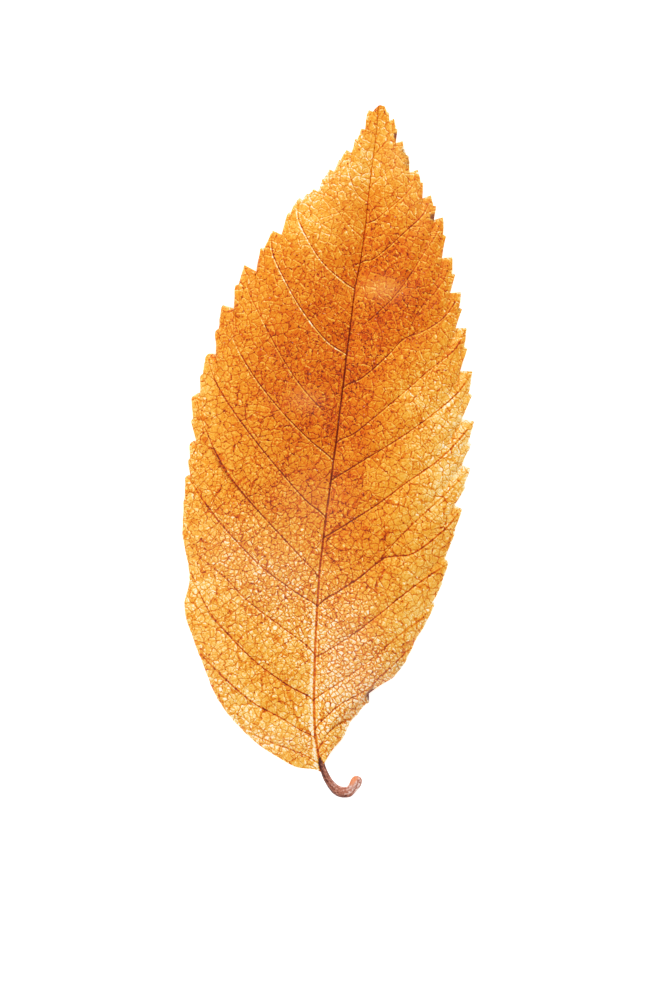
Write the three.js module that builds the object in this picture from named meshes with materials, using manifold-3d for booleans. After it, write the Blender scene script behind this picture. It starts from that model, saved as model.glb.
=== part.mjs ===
// A fallen elm leaf, dry and golden, lying right side up on a level surface.
//
// It grew as one piece, so it is one solid: a thin blade with a toothed margin, a midrib that stands
// out below it, and a short curled leaf stalk. The blade is lofted over its own side veins: each vein
// runs from its foot on the midrib to the tip of a tooth, and the blade between two veins is the blend
// of the two. All sizes are in millimetres. The leaf is laid out with its stalk's joint at the origin
// and its tip towards +Y, and is moved at the end to stand on z = 0, centred on the z axis.

import * as THREE from "three";
import { mergeVertices } from "three/addons/utils/BufferGeometryUtils.js";
import Module from "manifold-3d";

// ---- Driving dimensions ----

const BLADE_THICKNESS = 0.3;
const BLADE_FOOT = -0.45; // where the blade starts, along the midrib
const BLADE_TIP = 90.2;

// The midrib's sideways wander: [y, x].
const MIDRIB = [[BLADE_FOOT, 0.1], [4.5, -1.0], [11, -1.7], [24, -2.2], [40, -1.75], [55, -1.1], [74, 0], [BLADE_TIP, 0.35]];

// Side veins as { foot: y on the midrib, way: points passed, tip: tooth tip }. The first on each side
// is the blade's base edge and the last is the short broken edge at its tip.
const LEFT_VEINS = [
  { foot: BLADE_FOOT, way: [[-3, 0], [-6.5, 1.5]], tip: [-9.7, 3.4] },
  { foot: 0.5, way: [[-3.4, 2.1], [-6.7, 3]], tip: [-10.9, 4.4] },
  { foot: 2.2, way: [[-4.6, 4.4], [-9.6, 6.3]], tip: [-14.4, 7.9] },
  { foot: 4, way: [[-6.6, 6.8], [-12, 9.9]], tip: [-17.6, 14.1] },
  { foot: 6.8, way: [[-8, 9.8], [-14.5, 15.3]], tip: [-20.3, 21.3] },
  { foot: 9, way: [[-8.2, 12.7], [-14.6, 17.9]], tip: [-19.9, 24.6] },
  { foot: 15, way: [[-7.9, 19.5], [-14.4, 24.4]], tip: [-21.1, 31.6] },
  { foot: 21.6, way: [[-8.4, 25.5], [-15, 31]], tip: [-21.4, 38.2] },
  { foot: 25.8, way: [[-7.9, 30.9], [-13.9, 36.9], [-17.6, 41.8]], tip: [-21.3, 48.9] },
  { foot: 33.9, way: [[-8.3, 39.3], [-14.3, 45.8]], tip: [-19.9, 54.6] },
  { foot: 41.6, way: [[-7.8, 46.8], [-13.4, 52.4]], tip: [-18.3, 61.3] },
  { foot: 47, way: [[-6.4, 50.9], [-11.6, 57.9]], tip: [-15.8, 67.1] },
  { foot: 56, way: [[-5.5, 59.4], [-9.4, 64.4]], tip: [-12.3, 72.1] },
  { foot: 65, way: [[-4.3, 67.6], [-7.5, 71.2]], tip: [-9.2, 76.9] },
  { foot: 71.5, way: [[-2.8, 74.3], [-5.2, 76.6]], tip: [-7.4, 78.3] },
  { foot: 74.3, way: [[-2.2, 76.9], [-4, 79.2]], tip: [-5.5, 81.1] },
  { foot: 77, way: [[-1.4, 78], [-2.7, 80]], tip: [-3.4, 83.9] },
  { foot: 81, way: [[-0.7, 82.6], [-1.3, 84.7]], tip: [-1.6, 87] },
  { foot: BLADE_TIP, way: [[-0.1, 90], [-0.4, 89.8]], tip: [-0.8, 89.5] },
];
const RIGHT_VEINS = [
  { foot: BLADE_FOOT, way: [[0.4, 0.9], [0.8, 1.7]], tip: [1.2, 2.4] },
  { foot: 1.5, way: [[0.2, 2.2], [1.2, 3.3]], tip: [2.6, 4.2] },
  { foot: 2.4, way: [[0.3, 4.2], [1.7, 5.8]], tip: [3.8, 6.9] },
  { foot: 5.2, way: [[2.2, 9.1], [6.2, 12.3], [8.5, 14.7]], tip: [11.2, 17.7] },
  { foot: 9.3, way: [[3.2, 13.2], [8.2, 18]], tip: [13.7, 23.2] },
  { foot: 15, way: [[3.6, 19], [9.2, 24.4]], tip: [15, 29.2] },
  { foot: 21.9, way: [[3, 26.1], [6.6, 29.2], [11.2, 30.9]], tip: [16.3, 36.6] },
  { foot: 26.5, way: [[3.4, 31.2], [9.6, 35.4]], tip: [17, 42.2] },
  { foot: 31.2, way: [[3.3, 35.1], [8.6, 39.7], [13.5, 43.9]], tip: [16.9, 48.6] },
  { foot: 39, way: [[3, 42.5], [8.9, 47], [12.9, 50.7]], tip: [16.1, 55.3] },
  { foot: 44.2, way: [[3, 47.6], [8.3, 52.9], [12.7, 57.4]], tip: [14.8, 61.1] },
  { foot: 51.5, way: [[3, 55.1], [7, 59.2], [11.4, 62]], tip: [13.7, 65.9] },
  { foot: 55, way: [[2.6, 58.2], [7.4, 64.2]], tip: [12.1, 70.5] },
  { foot: 58.5, way: [[1.8, 61.2], [4.8, 64.6], [7.5, 69.5]], tip: [10.4, 75.8] },
  { foot: 68.6, way: [[3, 70.7], [6, 73.8]], tip: [8.6, 78.7] },
  { foot: 74, way: [[2.7, 76], [4.8, 78.3]], tip: [6.5, 82] },
  { foot: 78.6, way: [[0.9, 79.9], [2.6, 82.2]], tip: [4.1, 85.7] },
  { foot: 83, way: [[0.9, 84.1], [1.9, 86.2]], tip: [2.7, 88.7] },
  { foot: BLADE_TIP, way: [[0.6, 90.2], [0.9, 90.2]], tip: [1.2, 90.2] },
];

// Heights of the blade's middle surface, as [foot's y, z]. The midrib arches, the left margin lies
// on the ground along its lower third, and the right one touches at its lowest lobe and at the tip.
const MIDRIB_HEIGHT = [[BLADE_FOOT, 2.2], [10, 3.3], [30, 4], [50, 3.6], [70, 2.3], [BLADE_TIP, 0.2]];
const LEFT_MARGIN_HEIGHT = [[BLADE_FOOT, 1.2], [4, 0.4], [9, 0.2], [22, 0.2], [34, 0.7], [47, 1.5], [70, 1.2], [BLADE_TIP, 0.2]];
const RIGHT_MARGIN_HEIGHT = [[BLADE_FOOT, 1.7], [2.4, 1.3], [4, 0.2], [9.3, 0.6], [20, 1.2], [45, 1.9], [70, 1.3], [BLADE_TIP, 0.2]];
const SHOULDER = 0.9; // how far each half swells above the line from midrib to margin
const ROLL = 3; // the higher, the nearer to the margin the blade turns down
const PLEAT = 0.25; // how far the blade swells between two veins
const FLAT_TIP = 25; // the length next to the tip over which shoulders and pleats fade out

// How deep the notch above each tooth is cut: [foot's y, depth].
const LEFT_TOOTH_DEPTH = [[BLADE_FOOT, 0], [4, 0], [9, 0.1], [22, 0.4], [30, 1], [47, 1.5], [56, 1.4], [66, 0.6], [77, 0.8], [BLADE_TIP, 0.4]];
const RIGHT_TOOTH_DEPTH = [[BLADE_FOOT, 0], [2.4, 0], [9, 0.6], [21, 1.2], [31, 1.7], [58, 1.4], [74, 1.2], [83, 0.8], [BLADE_TIP, 0.3]];
const NOTCH_AT = 0.07; // of the way to the next tooth
const LESSER_TOOTH_AT = 0.52;
const LESSER_NOTCH_AT = 0.6;
const LESSER_TOOTH = 0.25; // how far it stands out, as a share of the notch's depth

// A bite out of the right margin below its third vein: [share of the way, distance outwards].
const BITTEN_VEIN = 2;
const BITE = [[0, 0], [0.17, 0.1], [0.29, 0.25], [0.34, -0.3], [0.44, -1.2], [0.5, -0.6], [0.56, 0.4], [0.63, 0.5], [0.8, 0.3], [1, 0]];

const MIDRIB_RADIUS = [[BLADE_FOOT, 0.5], [20, 0.4], [60, 0.22], [BLADE_TIP, 0.05]];
const COLUMNS = [0.24, 0.5, 0.77, 1]; // shares of a half-blade's width, outside the midrib

// The stalk's middle line and its radius there, from inside the midrib to the swollen end.
const STALK = [
  { at: [-0.85, 3.6, 2.3], radius: 0.38 },
  { at: [-0.1, 0.9, 2.1], radius: 0.48 },
  { at: [0.5, -0.8, 1.7], radius: 0.55 },
  { at: [1.3, -2.1, 1.05], radius: 0.62 },
  { at: [2.4, -3, 0.7], radius: 0.67 },
  { at: [3.7, -3.2, 0.7], radius: 0.68 },
  { at: [4.75, -2.5, 1.0], radius: 0.72 },
  { at: [5.05, -1.1, 1.4], radius: 0.8 },
];
const STALK_SIDES = 12;
const STALK_STEPS = 36;
const STALK_END_ROUNDING = 0.12; // share of the stalk's length over which each end rounds off

// ---- Curves ----

// The value at t of a smooth curve through [t, value] pairs.
function smooth(pairs, t) {
  const last = pairs.length - 1;
  let i = 0;
  while (i < last - 1 && t > pairs[i + 1][0]) i++;
  const slope = (k) => {
    const [ta, va] = pairs[Math.max(k - 1, 0)];
    const [tb, vb] = pairs[Math.min(k + 1, last)];
    return (vb - va) / (tb - ta);
  };
  const [t0, v0] = pairs[i];
  const [t1, v1] = pairs[i + 1];
  const span = t1 - t0;
  const s = THREE.MathUtils.clamp((t - t0) / span, 0, 1);
  const rise = v1 - v0;
  const a = slope(i) * span - rise;
  const b = rise - slope(i + 1) * span;
  return v0 + s * rise + s * (1 - s) * (a * (1 - s) + b * s);
}

// The value at t of the straight runs between [t, value] pairs.
function straight(pairs, t) {
  let i = 0;
  while (i < pairs.length - 2 && t > pairs[i + 1][0]) i++;
  const [t0, v0] = pairs[i];
  const [t1, v1] = pairs[i + 1];
  return THREE.MathUtils.mapLinear(THREE.MathUtils.clamp(t, t0, t1), t0, t1, v0, v1);
}

function curveThrough(points) {
  return new THREE.CatmullRomCurve3(points, false, "centripetal");
}

const flat = ([x, y]) => new THREE.Vector3(x, y, 0);
const midribPoint = (y) => flat([smooth(MIDRIB, y), y]);

// ---- One half of the blade ----

// A half has its veins as curves, a curve through their tips, and its own margin.
function makeHalf(side, veins, marginHeight, toothDepth, bite) {
  return {
    side, // -1 left, 1 right
    feet: veins.map((v) => v.foot),
    veins: veins.map((v) => curveThrough([midribPoint(v.foot), ...v.way.map(flat), flat(v.tip)])),
    envelope: curveThrough(veins.map((v) => flat(v.tip))),
    marginHeight,
    toothDepth,
    bite,
  };
}

// Which two veins a station lies between, and how far it is from the first to the second.
function between(half, station) {
  let i = 0;
  while (i < half.feet.length - 2 && station >= half.feet[i + 1]) i++;
  const share = (station - half.feet[i]) / (half.feet[i + 1] - half.feet[i]);
  return { i, share: THREE.MathUtils.clamp(share, 0, 1) };
}

// How far the margin is cut in at that share of the way from one tooth's tip to the next.
function toothCut(share) {
  const backEdge = (1 - share) / (1 - NOTCH_AT);
  if (share < NOTCH_AT) return share / NOTCH_AT;
  if (share < LESSER_TOOTH_AT) return backEdge - (LESSER_TOOTH * share) / LESSER_TOOTH_AT;
  if (share < LESSER_NOTCH_AT) {
    return backEdge - LESSER_TOOTH * THREE.MathUtils.mapLinear(share, LESSER_TOOTH_AT, LESSER_NOTCH_AT, 1, 0);
  }
  return backEdge;
}

// The point of the margin at a station.
function marginPoint(half, station) {
  const { i, share } = between(half, station);
  const t = (i + share) / (half.feet.length - 1);
  const p = half.envelope.getPoint(t);
  const along = half.envelope.getTangent(t);
  const outwards = new THREE.Vector3(along.y, -along.x, 0).multiplyScalar(half.side);
  const isEndEdge = i === 0 || i === half.feet.length - 2;
  let offset = isEndEdge ? 0 : -smooth(half.toothDepth, station) * toothCut(share);
  if (half.bite && i === BITTEN_VEIN) offset = straight(half.bite, share);
  return p.addScaledVector(outwards, offset);
}

// A point of the blade's middle surface: u runs from 0 at the midrib to 1 at the margin.
function bladePoint(half, u, station) {
  const { i, share } = between(half, station);
  const blend = (v) => half.veins[i].getPointAt(v).lerp(half.veins[i + 1].getPointAt(v), share);
  const toMidrib = midribPoint(station).sub(blend(0));
  const toMargin = marginPoint(half, station).sub(blend(1));
  const p = blend(u).addScaledVector(toMidrib, (1 - u) ** 3).addScaledVector(toMargin, u ** 4);
  const roll = u ** ROLL;
  const swell = Math.sin(Math.PI * u);
  const taper = Math.min(1, (BLADE_TIP - station) / FLAT_TIP);
  p.z = (1 - roll) * smooth(MIDRIB_HEIGHT, station) + roll * smooth(half.marginHeight, station);
  p.z += taper * swell * (SHOULDER + PLEAT * Math.sin(Math.PI * share) ** 2);
  return p;
}

// ---- The blade ----

const halves = [
  makeHalf(-1, LEFT_VEINS, LEFT_MARGIN_HEIGHT, LEFT_TOOTH_DEPTH, null),
  makeHalf(1, RIGHT_VEINS, RIGHT_MARGIN_HEIGHT, RIGHT_TOOTH_DEPTH, BITE),
];

// Stations of the rows: every tooth's tip and notch on both sides, and the corners of the bite.
function rowStations() {
  const found = [];
  for (const half of halves) {
    half.feet.slice(0, -1).forEach((foot, i) => {
      const gap = half.feet[i + 1] - foot;
      const shares = half.bite && i === BITTEN_VEIN
        ? half.bite.slice(0, -1).map(([share]) => share)
        : [0, NOTCH_AT, LESSER_TOOTH_AT, LESSER_NOTCH_AT];
      shares.forEach((share) => found.push(foot + share * gap));
    });
  }
  found.push(BLADE_TIP);
  found.sort((a, b) => a - b);
  const CLOSEST = 0.02;
  return found.filter((s, k) => k === 0 || s - found[k - 1] > CLOSEST);
}

// Across a row, from the left margin to the right one: which half, and how far out.
function columnAt(k, station) {
  const n = COLUMNS.length + 1;
  const half = halves[k < n ? 0 : 1];
  const step = Math.abs(k - n);
  if (step === 0) return { half, u: 0 };
  const width = marginPoint(half, station).distanceTo(midribPoint(station));
  const ribShare = Math.min(0.2, smooth(MIDRIB_RADIUS, station) / width);
  if (step === 1) return { half, u: ribShare };
  return { half, u: ribShare + (1 - ribShare) * COLUMNS[step - 2] };
}

function makeBlade() {
  const stations = rowStations();
  const columns = 2 * (COLUMNS.length + 1);
  const rows = stations.length - 1;
  const geometry = new THREE.BoxGeometry(columns, rows, 1, columns, rows, 1);
  const place = geometry.getAttribute("position");
  const middle = stations.map((s) =>
    Array.from({ length: columns + 1 }, (_, k) => {
      const { half, u } = columnAt(k, s);
      return bladePoint(half, u, s);
    }),
  );
  const normalAt = (k, j) => {
    const across = middle[j][Math.min(k + 1, columns)].clone().sub(middle[j][Math.max(k - 1, 0)]);
    const up = middle[Math.min(j + 1, rows)][k].clone().sub(middle[Math.max(j - 1, 0)][k]);
    return across.cross(up).normalize();
  };
  for (let n = 0; n < place.count; n++) {
    const k = Math.round(place.getX(n) + columns / 2);
    const j = Math.round(place.getY(n) + rows / 2);
    const isTop = place.getZ(n) > 0;
    const p = middle[j][k].clone();
    const offset = isTop ? BLADE_THICKNESS / 2 : -BLADE_THICKNESS / 2;
    p.addScaledVector(normalAt(k, j), offset);
    if (!isTop && k === columns / 2) p.z -= smooth(MIDRIB_RADIUS, stations[j]);
    place.setXYZ(n, p.x, p.y, p.z);
  }
  return geometry;
}

// ---- The stalk ----

// A bent, tapering cylinder with rounded ends.
function makeStalk() {
  const path = curveThrough(STALK.map((s) => new THREE.Vector3(...s.at)));
  const radii = STALK.map((s, i) => [i / (STALK.length - 1), s.radius]);
  const geometry = new THREE.CylinderGeometry(1, 1, 1, STALK_SIDES, STALK_STEPS);
  const place = geometry.getAttribute("position");
  for (let n = 0; n < place.count; n++) {
    const t = place.getY(n) + 0.5;
    const along = path.getTangent(t);
    const sideways = new THREE.Vector3(along.y, -along.x, 0).normalize();
    const upwards = sideways.clone().cross(along);
    const toEnd = Math.min(t, 1 - t) / STALK_END_ROUNDING;
    const rounding = toEnd < 1 ? Math.sqrt(1 - (1 - toEnd) ** 2 * 0.8) : 1;
    const radius = smooth(radii, t) * rounding;
    const p = path.getPoint(t);
    p.addScaledVector(sideways, radius * place.getX(n)).addScaledVector(upwards, radius * place.getZ(n));
    place.setXYZ(n, p.x, p.y, p.z);
  }
  return geometry;
}

// ---- Joining the two into one leaf ----

const wasm = await Module();
wasm.setup();

function toSolid(geometry) {
  const bare = geometry.clone().deleteAttribute("normal").deleteAttribute("uv");
  const merged = mergeVertices(bare, 1e-4);
  return new wasm.Manifold(
    new wasm.Mesh({
      numProp: 3,
      vertProperties: new Float32Array(merged.getAttribute("position").array),
      triVerts: new Uint32Array(merged.index.array),
    }),
  );
}

function toGeometry(solid) {
  const mesh = solid.getMesh();
  const geometry = new THREE.BufferGeometry();
  geometry.setAttribute("position", new THREE.BufferAttribute(mesh.vertProperties, 3));
  geometry.setIndex(new THREE.BufferAttribute(mesh.triVerts, 1));
  geometry.computeVertexNormals();
  return geometry;
}

const leaf = new THREE.Mesh(
  toGeometry(toSolid(makeBlade()).add(toSolid(makeStalk()))),
  new THREE.MeshStandardMaterial({ color: 0xdf8a24, roughness: 0.5, metalness: 0 }),
);
leaf.name = "leaf";

// Stand it on z = 0 with the middle of its outline over the origin.
const box = new THREE.Box3().setFromObject(leaf);
const centre = box.getCenter(new THREE.Vector3());
leaf.position.set(-centre.x, -centre.y, -box.min.z);

const autumnLeaf = new THREE.Group();
autumnLeaf.add(leaf);

export default autumnLeaf;
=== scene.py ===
import functools
import math

import bmesh
import bpy
import numpy as np
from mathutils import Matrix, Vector
from mathutils.kdtree import KDTree


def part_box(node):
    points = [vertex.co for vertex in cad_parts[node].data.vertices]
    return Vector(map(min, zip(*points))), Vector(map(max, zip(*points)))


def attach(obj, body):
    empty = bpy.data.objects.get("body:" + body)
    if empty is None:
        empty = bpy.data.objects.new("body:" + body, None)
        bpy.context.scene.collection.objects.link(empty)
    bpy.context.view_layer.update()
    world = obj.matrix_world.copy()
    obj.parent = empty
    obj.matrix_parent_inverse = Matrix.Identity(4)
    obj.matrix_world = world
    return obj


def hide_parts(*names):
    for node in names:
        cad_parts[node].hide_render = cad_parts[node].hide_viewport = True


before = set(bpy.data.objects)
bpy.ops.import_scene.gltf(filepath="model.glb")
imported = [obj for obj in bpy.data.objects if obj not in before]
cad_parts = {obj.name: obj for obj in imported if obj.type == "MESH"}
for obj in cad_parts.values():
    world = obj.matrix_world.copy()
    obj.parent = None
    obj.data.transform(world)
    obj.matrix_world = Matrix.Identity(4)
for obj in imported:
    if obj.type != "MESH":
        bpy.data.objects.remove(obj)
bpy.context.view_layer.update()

# A fallen elm leaf, dry and golden, lying right side up. It grew as one piece, so it is one closed
# mesh: the blade, its midrib and side veins, and the short hooked stalk. Lengths are in millimetres
# from the joint of stalk and blade, with the tip towards +Y, until the mesh is placed in the frame.

MM = 0.001
LEAF_LOW, LEAF_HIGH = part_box("leaf")

# The joint of stalk and blade, from the leaf's left edge and from its tip.
JOINT_FROM_LEFT = 21.48
JOINT_FROM_TIP = 90.24
JOINT_X = LEAF_LOW[0] / MM + JOINT_FROM_LEFT
JOINT_Y = LEAF_HIGH[1] / MM - JOINT_FROM_TIP

# ---- The plan of the blade ----

BLADE_FOOT = -0.45
BLADE_TIP = 90.3
MIDRIB = [
    (BLADE_FOOT, 0.15), (0.8, -0.13), (2, -0.4), (4, -0.9), (6, -1.2), (9, -1.55), (12, -1.75),
    (18, -2.05), (26, -2.25), (31.5, -2.1), (39, -1.75), (44, -1.5), (51.5, -1.2), (58, -0.95),
    (65, -0.65), (70, -0.15), (74, 0.05), (79, 0.15), (85, 0.4), (87, 0.5), (BLADE_TIP, 0.45),
]

# Each side vein: its foot on the midrib, how plainly it shows, the share of its length from which it
# shows (a fork runs along its parent up to there), the points it passes, and last its tooth's tip.
LEFT_VEINS = [
    (BLADE_FOOT, 0, 0, [(-3.2, 0.0), (-5.5, 1.0), (-7.9, 2.2), (-9.7, 3.4)]),
    (0.5, 0.8, 0, [(-1.4, 1.3), (-3.8, 2.2), (-6.7, 3.0), (-8.8, 3.7), (-10.9, 4.4)]),
    (3.8, 0.55, 0.68, [(-2.9, 4.7), (-5.5, 6.1), (-8.2, 7.3), (-9.9, 8.0), (-12.6, 7.7), (-14.4, 7.9)]),
    (4.0, 1, 0, [(-2.9, 4.9), (-5.5, 6.3), (-8.2, 7.5), (-9.9, 8.3), (-14.1, 11.4), (-17.6, 14.3)]),
    (8.9, 0.5, 0.82, [(-4.6, 10.4), (-9.9, 13.6), (-14.1, 17.1), (-16.2, 19.1), (-18.1, 19.6), (-20.2, 21)]),
    (9.1, 1, 0, [(-2.6, 9.8), (-4.6, 10.6), (-9.9, 13.8), (-14.1, 17.4), (-16.4, 19.7), (-19.5, 24.8)]),
    (15.3, 0.9, 0, [(-2.9, 16.3), (-7.6, 19.3), (-12, 22.2), (-14.9, 24.8), (-18.2, 27.2), (-21.1, 31.4)]),
    (21.9, 1, 0, [(-3.8, 22.8), (-7.3, 24.8), (-10.2, 26.7), (-14.1, 30.1), (-17.6, 33.6), (-21.4, 38.2)]),
    (25.5, 0.5, 0.8,
     [(-4.3, 27.5), (-9.9, 32.5), (-14.1, 36.7), (-16.4, 39.4), (-19.5, 40.6), (-21.2, 42.8)]),
    (25.7, 1, 0, [(-4.3, 27.8), (-9.9, 32.9), (-14.1, 37), (-16.6, 40), (-18.5, 43.5), (-21.2, 49.4)]),
    (33.9, 1, 0, [(-4.6, 35.8), (-9.1, 40.1), (-12.9, 44.1), (-15.4, 47), (-18.5, 51.2), (-19.9, 54.9)]),
    (41.7, 1, 0, [(-2.6, 42.5), (-4.9, 44.1), (-9.1, 47.7), (-13.2, 52.1), (-15.8, 55.9), (-18.4, 61.5)]),
    (46.8, 0.8, 0.12,
     [(-2.9, 47.8), (-6.4, 50.9), (-9.9, 55.3), (-12.4, 59.3), (-14.9, 63.6), (-15.8, 67.1)]),
    (56.2, 1, 0, [(-2.3, 56.8), (-3.8, 57.7), (-7.6, 61.7), (-10.2, 65.5), (-12.2, 69.3), (-12.4, 72.1)]),
    (65.1, 0.9, 0, [(-2, 65.8), (-5.5, 68.5), (-7.9, 71.8), (-9.1, 74.2), (-9.2, 76.9)]),
    (71.8, 0.45, 0, [(-1.7, 73.2), (-4.2, 75.7), (-7.4, 78.2)]),
    (74.3, 0.1, 0, [(-2.2, 76.9), (-4, 79.2), (-5.5, 81.1)]),
    (77, 0.6, 0, [(-1.1, 77.7), (-2, 78.9), (-2.8, 81), (-3.4, 83.9)]),
    (81, 0.25, 0, [(-0.7, 82.6), (-1.3, 84.7), (-1.6, 87)]),
    (BLADE_TIP, 0, 0, [(0.1, 89.9), (-0.25, 89.45), (-0.5, 89.5), (-0.85, 89.65)]),
]
RIGHT_VEINS = [
    (BLADE_FOOT, 0, 0, [(0.4, 0.5), (0.6, 1.1), (1.2, 2.4)]),
    (1.5, 0.6, 0, [(0.7, 2.6), (1.4, 3.4), (2.6, 4.2)]),
    (2.4, 0.7, 0, [(0.1, 3.6), (0.7, 4.8), (1.7, 5.8), (2.8, 6.6), (3.8, 6.9)]),
    (5.2, 1, 0, [(-0.2, 6.6), (2.1, 9), (5.7, 11.5), (7.1, 13.2), (8.5, 14.7), (11.2, 17.7)]),
    (9.3, 0.8, 0, [(-0.5, 10.2), (3, 13), (5.9, 15.6), (8.9, 18.7), (11.8, 21.2), (13.7, 23.3)]),
    (15, 1, 0, [(-1.1, 15.5), (2.4, 18.1), (6.2, 21.5), (9.2, 24.4), (12.1, 26.9), (15.1, 29.2)]),
    (21.9, 1, 0, [(0.3, 24), (3, 26.1), (6.4, 29.2), (8.1, 29.6), (9.9, 30), (14, 33.6), (16.3, 36.6)]),
    (22.1, 0.8, 0.4, [(0.3, 24.2), (3, 26.4), (6.2, 29.6), (7.7, 31.6), (9.6, 33.9), (14, 38.7), (17, 42.2)]),
    (31.2, 1, 0,
     [(-1.1, 31.9), (1.5, 33.8), (5.1, 36.6), (8.6, 39.7), (11.8, 42.3), (14, 44.6), (16.9, 48.6)]),
    (39, 1, 0, [(-0.8, 39.7), (3, 42.5), (6.8, 45.3), (10.4, 48.3), (14.2, 52.1), (16.1, 55.3)]),
    (44.1, 0.9, 0, [(0.6, 45.4), (3, 47.6), (6.5, 51.1), (10.1, 54.8), (13.6, 58.3), (14.8, 61.1)]),
    (51.5, 1, 0, [(1.2, 53.1), (4.8, 56.8), (5.9, 58.3), (7, 59.2), (8.6, 59.9), (11.5, 62.1), (13.7, 65.9)]),
    (51.7, 0.7, 0.5,
     [(1.2, 53.4), (4.6, 57), (5.8, 58.7), (6.9, 59.8), (8.1, 62.7), (10.9, 66.8), (12.1, 70.5)]),
    (58.5, 0.8, 0.15, [(1.8, 61.2), (4.8, 64.6), (6.7, 67.7), (8.4, 71.1), (9.4, 72.8), (10.4, 75.8)]),
    (68.6, 1, 0, [(1.2, 69.2), (3, 70.7), (5.3, 73.2), (7.7, 76), (8.6, 78.7)]),
    (74.1, 0.8, 0, [(1.2, 74.6), (2.7, 76), (5.1, 78.5), (6, 80), (6.5, 82)]),
    (78.8, 0.5, 0, [(1.2, 80.1), (3, 82.2), (4.1, 85.7)]),
    (83.2, 0.35, 0, [(0.9, 84.1), (2, 85.6), (2.7, 88.7)]),
    (BLADE_TIP, 0, 0, [(0.65, 90.4), (0.95, 90.35), (1.25, 90.3)]),
]

# How deep the notch above each tooth is cut, from the foot to the tip.
LEFT_NOTCHES = [
    (BLADE_FOOT, 0), (15, 0), (19, 0.5), (26, 1.3), (34, 1.8), (47, 2.0), (56, 1.4), (66, 0.6), (77, 0.8),
    (81, 0.75), (BLADE_TIP, 0.2),
]
RIGHT_NOTCHES = [
    (BLADE_FOOT, 0), (2.4, 0), (9, 0.35), (15, 0.7), (21, 1.15),
    (31, 1.7), (58, 1.4), (74, 1.2), (79, 1.1),
    (83, 0.85), (BLADE_TIP, 0.2),
]
# On the way from one tooth's tip to the next: where the notch, the lesser tooth and its notch are,
# how large the lesser tooth is beside the notch, and how far a tooth's outer edge bulges.
NOTCH_AT = 0.07
LESSER_TOOTH_AT = 0.52
LESSER_NOTCH_AT = 0.58
LESSER_TOOTH = 0.28
TOOTH_BULGE = 0.06
# Each notch lies this share of its depth below the level of the tooth's tip, up to DIP_ENDS.
NOTCH_DIP = 0.1
DIP_ENDS = 0.3

# The bite lies between a vein of the right side and the next: share of the way, distance outwards.
BITTEN_VEIN = 2
BITE = [
    (0, 0), (0.1, 0.15), (0.2, 0.1), (0.29, 0.3), (0.31, 0.05), (0.36, -0.5), (0.43, -1.15), (0.47, -1.1),
    (0.53, -0.2), (0.58, 0.5), (0.65, 0.7), (0.8, 0.5), (1, 0),
]

# Where a side vein bends after leaving the midrib, and by how much it has risen there.
BEND = 0.8
BEND_RISE = 0.16

# ---- Heights, from the foot to the tip ----

MIDRIB_HEIGHT = [(BLADE_FOOT, 2.0), (10, 3.0), (30, 3.6), (50, 3.2), (70, 2.1), (BLADE_TIP, 0.3)]
LEFT_MARGIN_HEIGHT = [
    (BLADE_FOOT, 1.7), (4, 1.5), (9, 1.35), (22, 1.3), (34, 1.2), (47, 1.4), (70, 1.1), (BLADE_TIP, 0.25),
]
RIGHT_MARGIN_HEIGHT = [
    (BLADE_FOOT, 1.6), (2.4, 0.9), (4, 0.5), (5.2, 0.8), (9.3, 1.1), (20, 1.3), (45, 1.7), (70, 1.2),
    (BLADE_TIP, 0.25),
]
# Each half swells between midrib and margin, less so in a narrow row and towards the tip.
SHOULDER = 0.85
WIDE_ROW = 9
FLAT_TIP = 25
TURN_DOWN = 3  # the power of the share of a row at which it falls from midrib to margin

# The left margin's lower part rolls under: how far it has rolled, from the foot to the tip.
ROLL = [(BLADE_FOOT, 0), (3, 0.6), (8, 1), (28, 1), (42, 0.6), (50, 0.1), (56, 0), (BLADE_TIP, 0)]
ROLL_LENGTH = 1.5
ROLL_RADIUS = 0.6
SEEN_OF_ROLL = 1.25  # radii of the roll that still show in the outline

# Beside the bite, the strip next to the lower of the two veins is folded down along it.
FOLD_DROP = 0.9
FOLD_CURVE = 1.4

# Between two side veins the blade is pleated upwards, more where they are far apart.
PLEAT = 0.26
PLEAT_SPACING = 4.5
PLEAT_CURVE = 2.2
WIDEST_PLEAT = 1.15
PLEAT_AT_ENDS = 0.45

# The blade's random unevenness: how high it swells, how far apart, and the seed.
BUCKLES = (0.16, 9, 21)
PUCKERS = (0.06, 2.6, 22)
FINE_PUCKERS = (0.045, 1.15, 23)
MARGIN_WAVES = (0.22, 5, 24)
CROSS_CREASES = (0.05, 2.4, 25)

# The frayed margin, in the plan, and its finer part, whose height is a share of the whole.
FRAY = (0.07, 0.7, 5)
FINE_FRAY = (0.6, 0.35, 6)

# Side veins and midrib are sunken above and stand out below: depth or height, and half-width. For
# the midrib, the ridge's height and both half-widths are multiples of its own radius.
VEIN_GROOVE = (0.06, 0.19)
VEIN_RIDGE = (0.2, 0.22)
RIB_GROOVE = (0.1, 0.45)
RIB_RIDGE = (1.5, 1.15)

THICKNESS = 0.2
EDGE_THICKNESS = 0.13
MIDRIB_RADIUS = [(BLADE_FOOT, 0.5), (20, 0.42), (60, 0.26), (BLADE_TIP, 0.08)]

# ---- How fine the mesh is ----

# Rows: how far apart they are at the margin, how close beside a side vein, and the least step between
# two. Columns: their distances from the midrib and from the margin, and how many lie between. A row
# that is narrower than NARROW has them all closer.
ROW_AT_MARGIN = 0.85
CREASE = 0.13
CLOSEST_ROWS = 0.012
NEAR_MIDRIB = [0.08, 0.18, 0.32, 0.55]
NEAR_MARGIN = [1.6, 1.3, 1.0, 0.72, 0.45, 0.2, 0]
COLUMNS_BETWEEN = 40
NARROW = 4.5


# ---- Curves ----

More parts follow.
